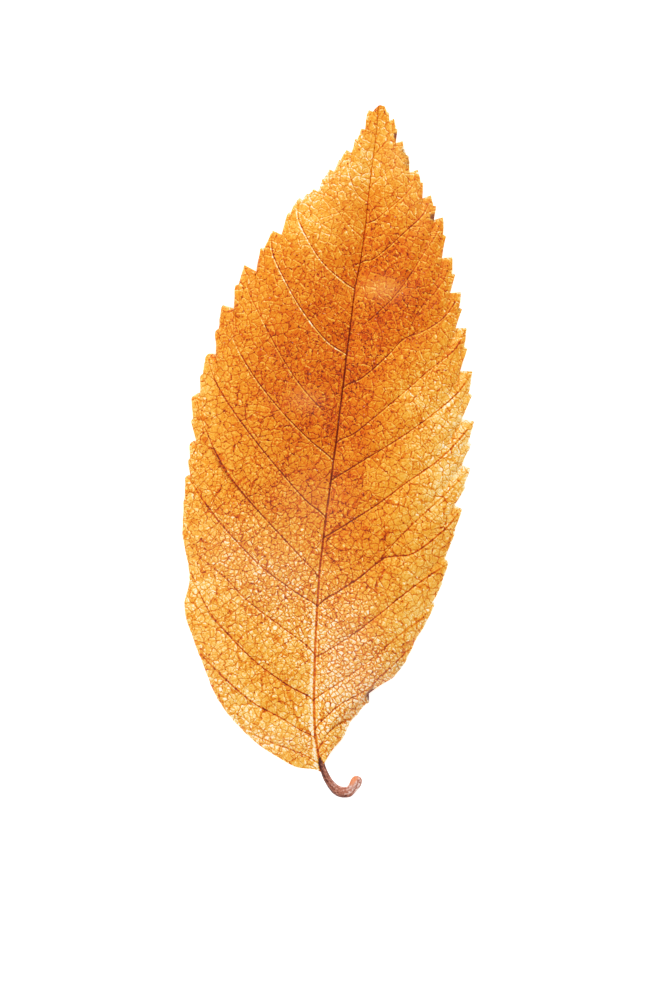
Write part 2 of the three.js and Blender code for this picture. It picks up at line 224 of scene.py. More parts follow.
def smooth(pairs, t):
    """The value at t of a smooth curve through (t, value) pairs."""
    ts, vs = (np.array(column, float) for column in zip(*pairs))
    slopes = np.gradient(vs, ts)
    slopes[1:-1] = (vs[2:] - vs[:-2]) / (ts[2:] - ts[:-2])
    i = np.clip(np.searchsorted(ts, t, side="right") - 1, 0, len(ts) - 2)
    span = ts[i + 1] - ts[i]
    s = np.clip((t - ts[i]) / span, 0, 1)
    rise = vs[i + 1] - vs[i]
    a = slopes[i] * span - rise
    b = rise - slopes[i + 1] * span
    return vs[i] + s * rise + s * (1 - s) * (a * (1 - s) + b * s)


def span_curve(before, start, end, after, t):
    """Points of the smooth curve from start to end, given its neighbours."""
    pairs = ((before, start), (start, end), (end, after))
    first, this, last = (np.sqrt(np.linalg.norm(q - p)) + 1e-9 for p, q in pairs)
    chord = end - start
    leave = chord + this * ((start - before) / first - (end - before) / (first + this))
    arrive = chord + this * ((after - end) / last - (after - start) / (this + last))
    t = np.asarray(t, float)[:, None]
    cubic = leave + arrive - 2 * chord
    square = 3 * chord - 2 * leave - arrive
    return start + t * leave + t ** 2 * square + t ** 3 * cubic


def spans(points):
    """Each span of a curve with its two neighbours, the ends carried on straight."""
    p = np.asarray(points, float)
    p = np.vstack([2 * p[0] - p[1], p, 2 * p[-1] - p[-2]])
    return list(zip(p, p[1:], p[2:], p[3:]))


def curve_through(points, steps=14):
    """A smooth path through the points, as short straight runs."""
    t = np.arange(steps) / steps
    runs = [span_curve(*span, t) for span in spans(points)]
    return np.vstack(runs + [np.asarray(points[-1:], float)])


def along(path, shares):
    """Points at the given shares of a path's length."""
    lengths = np.r_[0, np.cumsum(np.linalg.norm(np.diff(path, axis=0), axis=1))]
    return np.stack([np.interp(np.asarray(shares) * lengths[-1], lengths, axis) for axis in path.T], axis=1)


def midrib_point(y):
    return np.array([smooth(MIDRIB, y), y])


def lumps(x, y, size, seed):
    """Smooth random swellings from -1 to 1, about size apart."""
    table = np.random.default_rng(seed).uniform(-1, 1, (128, 128))
    gx, gy = x / size, y / size
    ix, iy = np.floor(gx).astype(int), np.floor(gy).astype(int)
    fx, fy = gx - ix, gy - iy
    fx, fy = fx * fx * (3 - 2 * fx), fy * fy * (3 - 2 * fy)
    def at(dx, dy):
        return table[(ix + dx) % 128, (iy + dy) % 128]
    low = at(0, 0) * (1 - fx) + at(1, 0) * fx
    high = at(0, 1) * (1 - fx) + at(1, 1) * fx
    return low * (1 - fy) + high * fy


def swellings(x, y, kind):
    height, size, seed = kind
    return height * lumps(x, y, size, seed)


def step(value, low, high):
    """0 below low, 1 above high, smooth between."""
    s = np.clip((value - low) / (high - low), 0, 1)
    return s * s * (3 - 2 * s)


# ---- The loft over the veins ----


class Half:
    """One half of the blade: its veins and its margin."""

    def __init__(self, side, veins, notches, margin_height, roll, bite):
        self.side = side
        self.feet = [vein[0] for vein in veins]
        self.strength = [vein[1] for vein in veins]
        self.starts = [vein[2] for vein in veins]
        self.paths = [self.vein_path(vein[0], vein[3]) for vein in veins]
        self.tips = [np.array(vein[3][-1], float) for vein in veins]
        self.margin_spans = spans(self.tips)
        self.notches = notches
        self.margin_height = margin_height
        self.roll = roll
        self.bite = bite

    def vein_path(self, foot, points):
        """A side vein leaves the midrib steeply and then bends outwards."""
        start = midrib_point(foot)
        first = np.array(points[0], float)
        if np.linalg.norm(first - start) > 2 * BEND:
            bend = start + (first - start) * BEND / np.linalg.norm(first - start) + [0, BEND_RISE]
            points = [tuple(bend)] + points
        return curve_through([tuple(start)] + points)

    def between(self, y):
        """Which two side veins a station lies between, and its share of the way from one to the next."""
        i = int(np.clip(np.searchsorted(self.feet, y + 1e-9, side="right") - 1, 0, len(self.feet) - 2))
        return i, float(np.clip((y - self.feet[i]) / (self.feet[i + 1] - self.feet[i]), 0, 1))

    def tooth_cut(self, share):
        """How far the margin is cut in on the way from one tooth's tip to the next."""
        if share < NOTCH_AT:
            return share / NOTCH_AT
        back = (1 - share) / (1 - NOTCH_AT)
        back -= TOOTH_BULGE * math.sin(math.pi * back)
        if share < LESSER_TOOTH_AT:
            return back - LESSER_TOOTH * (share - NOTCH_AT) / (LESSER_TOOTH_AT - NOTCH_AT)
        if share < LESSER_NOTCH_AT:
            return back - LESSER_TOOTH * (LESSER_NOTCH_AT - share) / (LESSER_NOTCH_AT - LESSER_TOOTH_AT)
        return back

    def margin_point(self, y):
        i, share = self.between(y)
        here, ahead = span_curve(*self.margin_spans[i], [share, share + 0.01])
        run = (ahead - here) / np.linalg.norm(ahead - here)
        outwards = np.array([run[1], -run[0]]) * self.side
        is_base_edge = i == 0
        depth = 0 if is_base_edge else float(smooth(self.notches, y))
        offset = -depth * self.tooth_cut(share)
        if self.bite and i == BITTEN_VEIN:
            offset = float(np.interp(share, *zip(*self.bite)))
        else:
            here = here - run * depth * float(np.interp(share, [0, NOTCH_AT, DIP_ENDS], [0, NOTCH_DIP, 0]))
        if not is_base_edge:
            fray = lumps(here[0], here[1], *FRAY[1:]) + swellings(here[0], here[1], FINE_FRAY)
            offset += FRAY[0] * float(fray)
        rolled = float(smooth(self.roll, y)) if self.roll else 0
        unrolled = rolled * (ROLL_LENGTH - SEEN_OF_ROLL * ROLL_RADIUS)
        return here + outwards * (offset + unrolled), outwards, rolled


def row_marks(half):
    """Stations that a half needs a row at, and those that only fill it."""
    exact, fill = [BLADE_TIP], []
    for i, foot in enumerate(half.feet[:-1]):
        gap = half.feet[i + 1] - foot
        tip_gap = np.linalg.norm(half.tips[i + 1] - half.tips[i])
        crease = CREASE / max(tip_gap, gap)
        shares = [0, crease, 1 - crease, NOTCH_AT, LESSER_TOOTH_AT, LESSER_NOTCH_AT]
        if half.bite and i == BITTEN_VEIN:
            shares = [0, crease, 1 - crease] + [share for share, _ in half.bite[1:-1]]
        exact += [foot + share * gap for share in shares]
        count = max(2, math.ceil(max(tip_gap, gap) / ROW_AT_MARGIN))
        fill += [foot + gap * k / count for k in range(1, count)]
    return exact, fill


def row_stations(halves):
    """The rows of both halves, with none so close that it would leave slivers."""
    exact, fill = [], []
    for half in halves:
        more_exact, more_fill = row_marks(half)
        exact += more_exact
        fill += more_fill
    kept = []
    for y in sorted(exact):
        if not kept or y - kept[-1] > CLOSEST_ROWS:
            kept.append(y)
    for y in sorted(fill):
        if np.min(np.abs(np.array(kept) - y)) > 3 * CLOSEST_ROWS:
            kept.append(y)
    return sorted(kept)


def column_shares(width):
    """Shares of a row's length: fine beside the midrib and at the margin."""
    scale = min(1, width / NARROW)
    inner = np.array([0] + NEAR_MIDRIB) * scale
    outer = width - np.array(NEAR_MARGIN) * scale
    middle = np.linspace(inner[-1], outer[0], COLUMNS_BETWEEN + 2)[1:-1]
    return np.r_[inner, middle, outer] / width


def loft_row(half, y):
    """One row of a half-blade, from the midrib to the margin, and what is known along it."""
    i, share = half.between(y)
    margin, outwards, rolled = half.margin_point(y)
    foot = midrib_point(y)
    width = np.linalg.norm(margin - foot)
    u = column_shares(width)
    low, high = along(half.paths[i], u), along(half.paths[i + 1], u)
    plan = low + (high - low) * share
    plan = plan + (1 - u[:, None]) ** 3 * (foot - plan[0])
    run = np.gradient(plan, axis=0)
    run /= np.linalg.norm(run, axis=1, keepdims=True)
    tipwards = np.stack([-run[:, 1], run[:, 0]], axis=1) * half.side
    spacing = np.abs(np.sum((high - low) * tipwards, axis=1))
    pull = u[:, None] ** 4 * (margin - plan[-1])
    upwards = np.sum(pull * tipwards, axis=1)
    plan = plan + pull
    to_low, to_high = share * spacing + upwards, (1 - share) * spacing - upwards
    low_shows, high_shows = (
        half.strength[k] * step(u, half.starts[k] - 0.06, half.starts[k] + 0.02) for k in (i, i + 1))
    low_is_near = (high_shows < 0.01) | ((share < 0.5) & (low_shows > 0.01))
    distance = np.abs(np.where(low_is_near, to_low, to_high))
    shows = np.where(low_is_near, low_shows, high_shows)
    shows = shows * (1 - (1.3 - shows) * u)
    edge = (1 - u) * width
    return {
        "plan": plan,
        "u": u,
        "y": np.full_like(u, y),
        "width": np.full_like(u, width),
        "share": np.full_like(u, share),
        "spacing": spacing,
        "distance": distance,
        "vein": distance * (-1) ** i,
        "above": np.where(low_is_near, 1.0, -1.0),
        "vein_shows": shows * step(edge, 0.2, 2.5),
        "edge": edge,
        "outwards": np.tile(outwards, (len(u), 1)),
        "rolled": np.full_like(u, rolled),
        "folded": np.full_like(u, folded_share(half, i, share)),
    }


def folded_share(half, i, share):
    """How far a row lies into the strip that is folded down beside the bite."""
    return 1 - share if half.bite and i == BITTEN_VEIN else 0


def half_sheet(half, stations):
    """All rows of a half-blade, with their heights and the rolled margin."""
    rows = [loft_row(half, y) for y in stations]
    sheet = {key: np.stack([row[key] for row in rows]) for key in rows[0]}
    sheet["z"] = sheet_height(half, sheet)
    roll_margin(half, sheet)
    return sheet


def sheet_height(half, sheet):
    """The height of the blade's middle surface."""
    u = sheet["u"]
    y = sheet["y"]
    x_plan = sheet["plan"][..., 0]
    y_plan = sheet["plan"][..., 1]
    down = u ** TURN_DOWN
    taper = np.clip((BLADE_TIP - y) / FLAT_TIP, 0, 1)
    z = (1 - down) * smooth(MIDRIB_HEIGHT, y) + down * smooth(half.margin_height, y)
    z += taper * SHOULDER * np.clip(sheet["width"] / WIDE_ROW, 0, 1) * np.sin(np.pi * u)
    pleat = 1 - np.abs(2 * sheet["share"] - 1) ** PLEAT_CURVE
    pleat *= np.clip(sheet["spacing"] / PLEAT_SPACING, 0, WIDEST_PLEAT) * step(sheet["edge"], 0, 6)
    along_row = PLEAT_AT_ENDS + (1 - PLEAT_AT_ENDS) * np.sin(np.pi * np.clip(u, 0, 1)) ** 0.7
    z += (0.3 + 0.7 * taper) * PLEAT * pleat * along_row
    along_veins = y_plan + x_plan * half.side
    across_veins = (y_plan - x_plan * half.side) * 0.5
    z += swellings(along_veins, across_veins, CROSS_CREASES) * step(sheet["distance"], 0, 0.8)
    z += swellings(x_plan, y_plan, BUCKLES) * step(u, 0, 0.5)
    z += swellings(x_plan, y_plan, PUCKERS) * step(u, 0.02, 0.15)
    z += swellings(x_plan, y_plan, FINE_PUCKERS) * step(sheet["distance"], 0.05, 0.5)
    z += swellings(x_plan, y_plan, MARGIN_WAVES) * u ** 6 * (1 - sheet["rolled"]) * taper
    z -= FOLD_DROP * sheet["folded"] ** FOLD_CURVE * step(u, 0.1, 0.5)
    return z


def roll_margin(half, sheet):
    """Turns the outermost strip of a rolled margin down and under."""
    run = np.clip(ROLL_LENGTH - sheet["edge"], 0, None) * (sheet["rolled"] > 0)
    turn = sheet["rolled"] * run / ROLL_RADIUS
    bend = np.maximum(sheet["rolled"], 1e-3)
    radius = ROLL_RADIUS / bend
    sheet["plan"] = sheet["plan"] + sheet["outwards"] * (radius * np.sin(turn) - run)[..., None]
    sheet["z"] = sheet["z"] - radius * (1 - np.cos(turn))


LEFT = Half(-1, LEFT_VEINS, LEFT_NOTCHES, LEFT_MARGIN_HEIGHT, ROLL, None)
RIGHT = Half(1, RIGHT_VEINS, RIGHT_NOTCHES, RIGHT_MARGIN_HEIGHT, None, BITE)


def whole_sheet():
    """Both halves side by side: from the left margin over the midrib to the right margin."""
    stations = row_stations([LEFT, RIGHT])
    left, right = half_sheet(LEFT, stations), half_sheet(RIGHT, stations)
    sheet = {key: np.concatenate([left[key][:, :0:-1], right[key]], axis=1) for key in left}
    x, y = sheet["plan"][..., 0], sheet["plan"][..., 1]
    sheet["midrib"] = x - smooth(MIDRIB, y)
    sheet["rib"] = smooth(MIDRIB_RADIUS, np.clip(sheet["y"], BLADE_FOOT, BLADE_TIP))
    return sheet


# ---- Colour of the blade, in soft patches: x, y, half-widths and amount ----

# How ruddy the skin is: everywhere, in random clouds (amount, distance apart and seed), and in patches.
RUDDY = 0.34
RUDDY_CLOUDS = (0.05, 4.5, 61)
RUDDY_CLOUDLETS = (0.03, 1.8, 62)
RUDDY_PATCHES = [
    (-3, 52, 15, 26, 0.23), (-3, 52, 7, 9, 0.06), (3, 60, 5, 6, 0.06),
    (9.5, 65, 4, 4.5, 0.16), (4, 71.5, 6, 4, 0.09),
    (0.5, 77, 2, 4, 0.05), (0, 34, 5, 9, 0.08), (-8, 36, 4, 4, 0.06),
    (5, 27, 5, 5, 0.06), (7, 19, 4, 4, 0.05),
    (14.5, 45, 5, 11, -0.14), (-21, 45, 3, 14, -0.07), (-8, 77, 5, 5, -0.17), (-3, 82, 3, 3, -0.06),
    (-18, 22, 4, 6, -0.07), (0.5, 12, 4, 7, -0.04),
    (3.2, 65.3, 2.6, 1.4, -0.14), (-7.5, 50, 1.5, 1, -0.1),
    (0.6, 56.5, 0.8, 1.2, -0.15), (-3, 8, 18, 17, -0.06), (12, 30, 6, 12, -0.02), (14, 40, 5, 8, -0.02),
    (-2, 44, 6, 4, -0.04),
    (-21, 27, 3, 9, -0.12), (-16, 14, 4, 5, -0.07), (-8, 4, 5, 3, -0.08),
    (-8, 17, 4, 4, -0.05), (12.5, 22, 2.5, 4, -0.08),
    (-5, 71, 4, 4, -0.08), (8, 52, 2.5, 3, -0.08), (8, 40, 3, 4, -0.06),
    (12.5, 65, 2, 4, -0.08), (-20, 52, 3, 4, -0.07),
    (-21.6, 36, 1.6, 12, -0.1), (-20, 28, 2.5, 3, -0.05), (-11, 10, 4, 4, -0.05),
    (0, 11, 1.5, 5, -0.06), (-1, 79, 3, 5, -0.05),
    (4, 75.5, 3, 3, -0.05), (8, 76, 3, 3, 0.05), (12, 69, 2.5, 3, -0.05), (-4, 46, 4, 3, 0.05),
    (0.5, 70, 3, 4, 0.09), (4.5, 61, 4, 6, 0.06), (-8, 64, 3.5, 4, 0.06),
    (8, 52, 3, 3, -0.07), (14, 46, 4, 4, -0.06),
    (0.5, 27, 4, 5, -0.07), (8.5, 21.5, 3, 3, -0.08), (11, 28, 3, 4, -0.04), (4, 15, 3, 4, 0.03),
    (-21, 31, 3, 12, 0.11), (-12, 50, 6, 5, 0.07), (-8, 10, 3, 3, 0.07),
    (-17, 34, 4, 7, 0.04), (-16, 14, 6, 8, 0.03),
]
# Where it is faded to a rosy tone.
ROSY_PATCHES = [
    (-7, 26, 6, 6, 0.6), (2.5, 17, 4, 7, 0.75), (6, 11.5, 4, 3.5, 0.7), (-15, 28, 5, 5, 0.35),
    (-4, 36, 5, 4, 0.4), (3.3, 65.3, 2.6, 1.4, 0.7), (-8, 3, 8, 1.8, 0.5), (-16, 12, 3, 5, 0.25),
    (-6, 81, 4, 5, 0.2), (9, 79, 3, 4, 0.3), (3.6, 84, 2, 3, 0.4), (-6, 49.5, 2.5, 1.6, 0.5),
]
# Where the small vein net shows most, with painted highlights on the crowns between its walls.
NETTED_PATCHES = [
    (-6, 24, 8, 9, 0.7), (2, 14, 4.5, 9, 0.95), (-16, 6, 5, 6, 0.5),
    (-15, 30, 6, 8, 0.35), (7, 12, 5, 5, 0.6),
    (11, 50, 6, 10, 0.2), (-6, 3, 8, 2.5, 0.5),
]
# Dark dead spots on the margin and beside the veins.
SCORCHED_SPOTS = [
    (3.1, 86.3, 0.35, 0.6, 0.9), (4.2, 84.4, 0.6, 0.9, 0.45), (5, 82.8, 0.6, 1.3, 0.5),
    (9.1, 75.7, 0.7, 0.6, 0.8), (11.1, 71.2, 0.5, 1.2, 0.6), (6.1, 10.6, 0.5, 1.0, 1.0),
    (5.6, 10.4, 0.7, 0.7, 0.6), (-5.65, 11.5, 0.22, 0.22, 0.9), (-4.65, 10.9, 0.22, 0.18, 0.9),
    (-2.6, 9.85, 0.4, 0.16, 0.9), (-8.9, 10.9, 0.18, 0.18, 1.0),
    (9.5, 14.6, 1.5, 1.6, 0.4), (3.1, 6.3, 0.5, 0.7, 0.35),
    (13.6, 63.6, 0.3, 1.1, 0.5), (-2.6, 25.9, 0.3, 0.3, 0.6), (-1.9, 21.8, 0.3, 0.3, 0.6),
]


def soft_patches(x, y, patches):
    total = np.zeros_like(x)
    for px, py, across, up, amount in patches:
        total += amount * np.exp(-((x - px) / across) ** 2 - ((y - py) / up) ** 2)
    return total


# ---- The meshes ----

def new_object(name, bm):
    mesh = bpy.data.meshes.new(name)
    bm.to_mesh(mesh)
    bm.free()
    piece = bpy.data.objects.new(name, mesh)
    bpy.context.scene.collection.objects.link(piece)
    return piece


def positions(mesh):
    flat = np.empty(len(mesh.vertices) * 3, np.float32)
    mesh.vertices.foreach_get("co", flat)
    return flat.reshape(-1, 3).astype(float)


def set_values(mesh, name, values):
    layer = mesh.attributes.get(name) or mesh.attributes.new(name, "FLOAT", "POINT")
    layer.data.foreach_set("value", np.ascontiguousarray(values, np.float32).ravel())


def get_values(mesh, name):
    values = np.zeros(len(mesh.vertices), np.float32)
    mesh.attributes[name].data.foreach_get("value", values)
    return values


SLAB = 0.1  # the flat grid's thickness, before it is laid on the loft


def make_blade(sheet):
    """The blade as a thin closed slab: a flat grid, thickened, then laid on the loft."""
    rows, columns = sheet["u"].shape
    bm = bmesh.new()
    bmesh.ops.create_grid(bm, x_segments=columns - 1, y_segments=rows - 1, size=0.5)
    bmesh.ops.solidify(bm, geom=bm.faces[:], thickness=SLAB)
    blade = new_object("blade", bm)
    flat = positions(blade.data)
    k = np.round((flat[:, 0] + 0.5) * (columns - 1)).astype(int)
    j = np.round((flat[:, 1] + 0.5) * (rows - 1)).astype(int)
    is_top = flat[:, 2] > -SLAB / 2

    middle = np.dstack([sheet["plan"], sheet["z"]])
    across = np.gradient(middle, axis=1)
    up = np.gradient(middle, axis=0)
    normal = np.cross(across, up)
    normal /= np.maximum(np.linalg.norm(normal, axis=2, keepdims=True), 1e-12)
    thin = step(sheet["edge"], 0, 0.6)[..., None]
    half_thick = (EDGE_THICKNESS + (THICKNESS - EDGE_THICKNESS) * thin) / 2

    shows = sheet["vein_shows"]
    inside = step(sheet["edge"], 0.2, 3)
    across_rib = np.abs(sheet["midrib"]) / sheet["rib"]
    groove = VEIN_GROOVE[0] * shows * np.exp(-(sheet["distance"] / VEIN_GROOVE[1]) ** 2) * inside
    groove += RIB_GROOVE[0] * np.exp(-(across_rib / RIB_GROOVE[1]) ** 2)
    ridge = VEIN_RIDGE[0] * shows * np.exp(-(sheet["distance"] / VEIN_RIDGE[1]) ** 2) * inside
    ridge += sheet["rib"] * RIB_RIDGE[0] * np.sqrt(np.clip(1 - (across_rib / RIB_RIDGE[1]) ** 2, 0, 1))

    top = middle + normal * half_thick
    top[..., 2] -= groove
    bottom = middle - normal * half_thick
    bottom[..., 2] -= ridge
    place = np.where(is_top[:, None], top[j, k], bottom[j, k])
    blade.data.vertices.foreach_set("co", place.astype(np.float32).ravel())

    x, y = sheet["plan"][..., 0], sheet["plan"][..., 1]
    ruddy = RUDDY + soft_patches(x, y, RUDDY_PATCHES)
    ruddy = ruddy + swellings(x, y, RUDDY_CLOUDS) + swellings(x, y, RUDDY_CLOUDLETS)
    values = {name: sheet[name] for name in ("vein", "above", "vein_shows", "midrib", "rib", "edge")}
    values["ruddy"] = ruddy
    values["rosy"] = soft_patches(x, y, ROSY_PATCHES)
    values["netted"] = soft_patches(x, y, NETTED_PATCHES)
    values["scorch"] = soft_patches(x, y, SCORCHED_SPOTS)
    values["known"] = np.ones_like(x)
    for name, value in values.items():
        set_values(blade.data, name, value[j, k])
    return blade


# The stalk's middle line and its radius there, from inside the midrib to the swollen end.
STALK = [
    ((-0.95, 6.0, 2.15), 0.28), ((-0.5, 3.6, 2.05), 0.34),
    ((-0.1, 1.8, 1.85), 0.34), ((0.14, 0.75, 2.05), 0.36),
    ((0.72, -0.63, 1.75), 0.4), ((1.43, -1.82, 1.15), 0.45),
    ((2.33, -2.7, 0.8), 0.51), ((3.15, -3.04, 0.68), 0.57),
    ((4.2, -2.9, 0.78), 0.68), ((4.8, -2.18, 1.0), 0.72),
    ((5.07, -1.4, 1.3), 0.78), ((5.02, -0.64, 1.4), 0.78),
]
# The swollen end is flattened on its outer side: a point of the flat and the way it faces.
FLAT_AT = np.array([4.5, -3.6, 0])
FLAT_FACES = np.array([0.803, -0.596, 0])
FLATTENED = 0.85
STALK_LENGTH = 12.5
STALK_GIRTH = 1.6
ROUNDED_END = 0.05
STALK_AROUND = 36
STALK_RINGS = 130

# The stalk's groove: share of its length, angle from its outer side over its top.
GROOVE_AT = [(0, 1.1), (0.3, 0.9), (0.5, 0.6), (0.8, 0.25), (1, 0.2)]
GROOVE_DEPTH = 0.13
GROOVE_ANGLE = 0.22

# Its lengthwise wrinkles: a share of its radius, and the weight, size and seed of each set of streaks.
WRINKLES = 0.05
STREAKS = (1, 0.5, 71)
FINE_STREAKS = (0.7, 0.27, 72)
LONG_STREAKS = (0.5, 1, 73)


def wrap(angle):
    """The same angle, from minus half a turn to half a turn."""
    return (angle + np.pi) % (2 * np.pi) - np.pi


def make_stalk():
    """The stalk as a sphere drawn out along its path, wrinkled lengthwise as it dried."""
    bm = bmesh.new()
    bmesh.ops.create_uvsphere(bm, u_segments=STALK_AROUND, v_segments=STALK_RINGS, radius=1)
    stalk = new_object("stalk", bm)
    ball = positions(stalk.data)
    t = (1 - ball[:, 2]) / 2
    around = np.arctan2(ball[:, 1], ball[:, 0])
    path = curve_through([at for at, _ in STALK], 24)
    centre = along(path, t)
    ahead = along(path, np.clip(t + 0.01, 0, 1)) - along(path, np.clip(t - 0.01, 0, 1))
    ahead /= np.linalg.norm(ahead, axis=1, keepdims=True)
    sideways = np.stack([ahead[:, 1], -ahead[:, 0], np.zeros(len(t))], axis=1)
    sideways /= np.linalg.norm(sideways, axis=1, keepdims=True)
    upwards = np.cross(sideways, ahead)
    steps = np.linspace(0, 1, len(STALK))
    radius = smooth(list(zip(steps, [r for _, r in STALK])), t)
    to_end = np.clip(np.minimum(t / ROUNDED_END, (1 - t) / ROUNDED_END), 0, 1)
    radius *= np.sqrt(1 - (1 - to_end) ** 2)
    dried = step(t, 0.35, 0.55)
    length = STALK_LENGTH * t
    sideways_round = STALK_GIRTH * np.cos(around) + 0.22 * length
    upwards_round = STALK_GIRTH * np.sin(around) + 9
    streaks = swellings(sideways_round, upwards_round, STREAKS)
    streaks = streaks + swellings(sideways_round, upwards_round, FINE_STREAKS)
    streaks += swellings(4 * around + 20, length * 4, LONG_STREAKS)
    to_groove = wrap(around - smooth(GROOVE_AT, t))
    groove = -GROOVE_DEPTH * np.exp(-(to_groove / GROOVE_ANGLE) ** 2)
    groove = groove * step(t, 0.2, 0.35) * step(1 - t, 0.2, 0.45)
    radius *= 1 + dried * WRINKLES * streaks + groove
    ring = sideways * np.cos(around)[:, None] + upwards * np.sin(around)[:, None]
    place = centre + ring * radius[:, None]
    beyond = np.clip((place - FLAT_AT) @ FLAT_FACES, 0, None)
    place -= FLATTENED * beyond[:, None] * FLAT_FACES
    stalk.data.vertices.foreach_set("co", place.astype(np.float32).ravel())

    # The bark has painted shade along its groove and outer side and under the blade, painted light on its
    # inner side, and is paler towards the scar.
    painted_shade_side = 0.5 * np.exp(-(to_groove / 0.8) ** 2) * step(1 - t, 0.1, 0.3)
    painted_shade_under_blade = 0.2 * step(-t, -0.45, -0.36)
    paler = 0.12 * (1 - np.cos(around)) * step(t, 0.4, 0.6) + 0.3 * step(t, 0.74, 0.9)
    scar = 0.5 * step(t, 0.94, 0.99) + step(t, 0.84, 0.95) * step(-np.cos(around), -0.5, 0.9)
    values = {
        "vein": 9, "above": 0, "vein_shows": 0, "midrib": 9, "rib": 1, "edge": 9,
        "ruddy": 0.5, "rosy": 0, "netted": 0, "scorch": 0, "stalk": step(-place[:, 1], -2.2, -1.7),
        "bark": 0.3 + 0.3 * streaks - painted_shade_side - painted_shade_under_blade + paler, "scar": np.clip(scar, 0, 1),
        "known": 1,
    }
    for name, value in values.items():
        set_values(stalk.data, name, np.broadcast_to(value, t.shape))
    return stalk


def fill_unknown(mesh):
    """Vertices made where stalk and blade were joined take the values of their nearest neighbour."""
    known = get_values(mesh, "known") > 0.5
    place = positions(mesh)
    tree = KDTree(int(known.sum()))
    for index in np.flatnonzero(known):
        tree.insert(place[index], int(index))
    tree.balance()
    missing = np.flatnonzero(~known)
    nearest = [tree.find(place[index])[1] for index in missing]
    for layer in list(mesh.attributes):
        if layer.domain == "POINT" and layer.data_type == "FLOAT":
            values = get_values(mesh, layer.name)
            values[missing] = values[nearest]
            set_values(mesh, layer.name, values)
    mesh.attributes.remove(mesh.attributes["known"])


def join(blade, stalk):
    """Stalk and blade become one closed mesh, as they grew."""
    modifier = blade.modifiers.new("join", "BOOLEAN")
    modifier.operation = "UNION"
    modifier.solver = "MANIFOLD"
    modifier.object = stalk
    depsgraph = bpy.context.evaluated_depsgraph_get()
    joined = bpy.data.meshes.new_from_object(
        blade.evaluated_get(depsgraph), preserve_all_data_layers=True, depsgraph=depsgraph)
    blade.modifiers.clear()
    bpy.data.objects.remove(stalk)
    fill_unknown(joined)
    blade.data = joined


SHARP_EDGE = math.radians(55)


def make_leaf():
    sheet = whole_sheet()
    leaf = make_blade(sheet)
    leaf.name = "elm_leaf"
    join(leaf, make_stalk())
    mesh = leaf.data
    mesh.name = "elm_leaf"
    place = positions(mesh)
    place[:, 2] -= place[:, 2].min()
    place += [JOINT_X, JOINT_Y, 0]
    mesh.vertices.foreach_set("co", (place * MM).astype(np.float32).ravel())
    mesh.polygons.foreach_set("use_smooth", np.ones(len(mesh.polygons), bool))
    mesh.set_sharp_from_angle(angle=SHARP_EDGE)
    mesh.update()
    return leaf


# ---- Materials ----

def colour(hex_code):
    """A linear colour from an sRGB hex value."""
    channels = [int(hex_code[k:k + 2], 16) / 255 for k in (1, 3, 5)]
    linear = [c / 12.92 if c <= 0.04045 else ((c + 0.055) / 1.055) ** 2.4 for c in channels]
    return (*linear, 1)


def add_node(tree, kind, *inputs, give=None, **settings):
    """Adds a node with its settings and links; an input is a value, a socket, or None to leave it."""
    node = tree.nodes.new("ShaderNode" + kind)
    for name, value in settings.items():
        setattr(node, name, value)
    sockets = [socket for socket in node.inputs if socket.enabled]
    for socket, value in zip(sockets, inputs):
        if isinstance(value, bpy.types.NodeSocket):
            tree.links.new(value, socket)
        elif value is not None:
            socket.default_value = value
    if give:
        return node.outputs[give]
    return next((output for output in node.outputs if output.enabled), None)


def new_material(name):
    material = bpy.data.materials.new(name)
    material.use_nodes = True
    material.node_tree.nodes.clear()
    return material, functools.partial(add_node, material.node_tree)


# What the mesh carries at each point for its skin to read.
SKIN_VALUES = [
    "vein", "above", "vein_shows", "midrib", "rib", "edge", "ruddy", "rosy", "netted", "scorch",
    "stalk", "bark", "scar",
]

# The vein net. Widths of the fields between small veins: the smallest ones, those one size up, and the
# long ones between the cross veins that run from one side vein to the next.
FIELD = 0.6
STOUT_FIELD = 1.15
CROSS_VEINS = (2.3, 5.5)
NET_WARP = 0.8  # how far the net wanders off a straight layout
CROSS_WARP = 1.6
HALF_RIGHT = math.sqrt(0.5)
HALVES_APART = 200.0  # so that the net on the right doesn't mirror the one on the left

# In the layout along and across the side veins, the way the light comes from, which the painted highlights on
# the walls' rims face: left of the midrib and right of it.
LIGHT_WAY = ((0.3, 0.95, 0), (0.95, 0.3, 0))

# Dark lines, by distance from the middle of a wall or vein: where each is full, and where it is gone.
FINE_WALL = (0.01, 0.09)
STOUT_WALL = (0.01, 0.1)
CROSS_VEIN = (0.03, 0.14)
RIB_LINE = (0.02, 0.12)
SIDE_VEIN = 0.03
SIDE_VEIN_WIDTH = (0.19, 0.14)

# Painted highlights, as pale rims and banks beside walls and veins on the side that faces the light: where
# each begins, is full, fades and ends. The midrib's is on its left and in shares of its radius.
FINE_PAINTED_RIM = (0.02, 0.09, 0.12, 0.22)
STOUT_PAINTED_RIM = (0.04, 0.1, 0.14, 0.28)
CROSS_PAINTED_BANK = (0.1, 0.16, 0.18, 0.3)
VEIN_PAINTED_BANK = (0.06, 0.14, 0.18, 0.32)
RIB_PAINTED_BANK = (-0.4, -0.8, -1.1, -1.9)

# Pigment from none to most: cream, as on the painted crown highlights, golden yellow, orange, rust and the
# brown of veins. Most of its layers add some, so it starts below none.
PIGMENT_START = -0.545
SKIN_STOPS = [
    (0.0, "#FFF2D8"), (0.1, "#FCDD98"), (0.22, "#F6C25C"), (0.36, "#EFAA34"), (0.5, "#E68E1C"),
    (0.64, "#DE6E0A"), (0.76, "#D05006"), (0.88, "#AE3A08"), (1.0, "#7C2810"),
]
FADED_ROSY = "#EBAA7E"
# Small painted glints scattered over the skin.
PAINTED_GLINT = "#F6E4D6"
SCORCHED = "#743028"
BARK_FURROW = "#4C201C"
BARK_RIDGE = "#B4705A"
# A painted grey highlight on the bark's palest ridges.
PAINTED_BARK_SHEEN = "#F2D6CC"
FRESH_SCAR = "#E88A50"

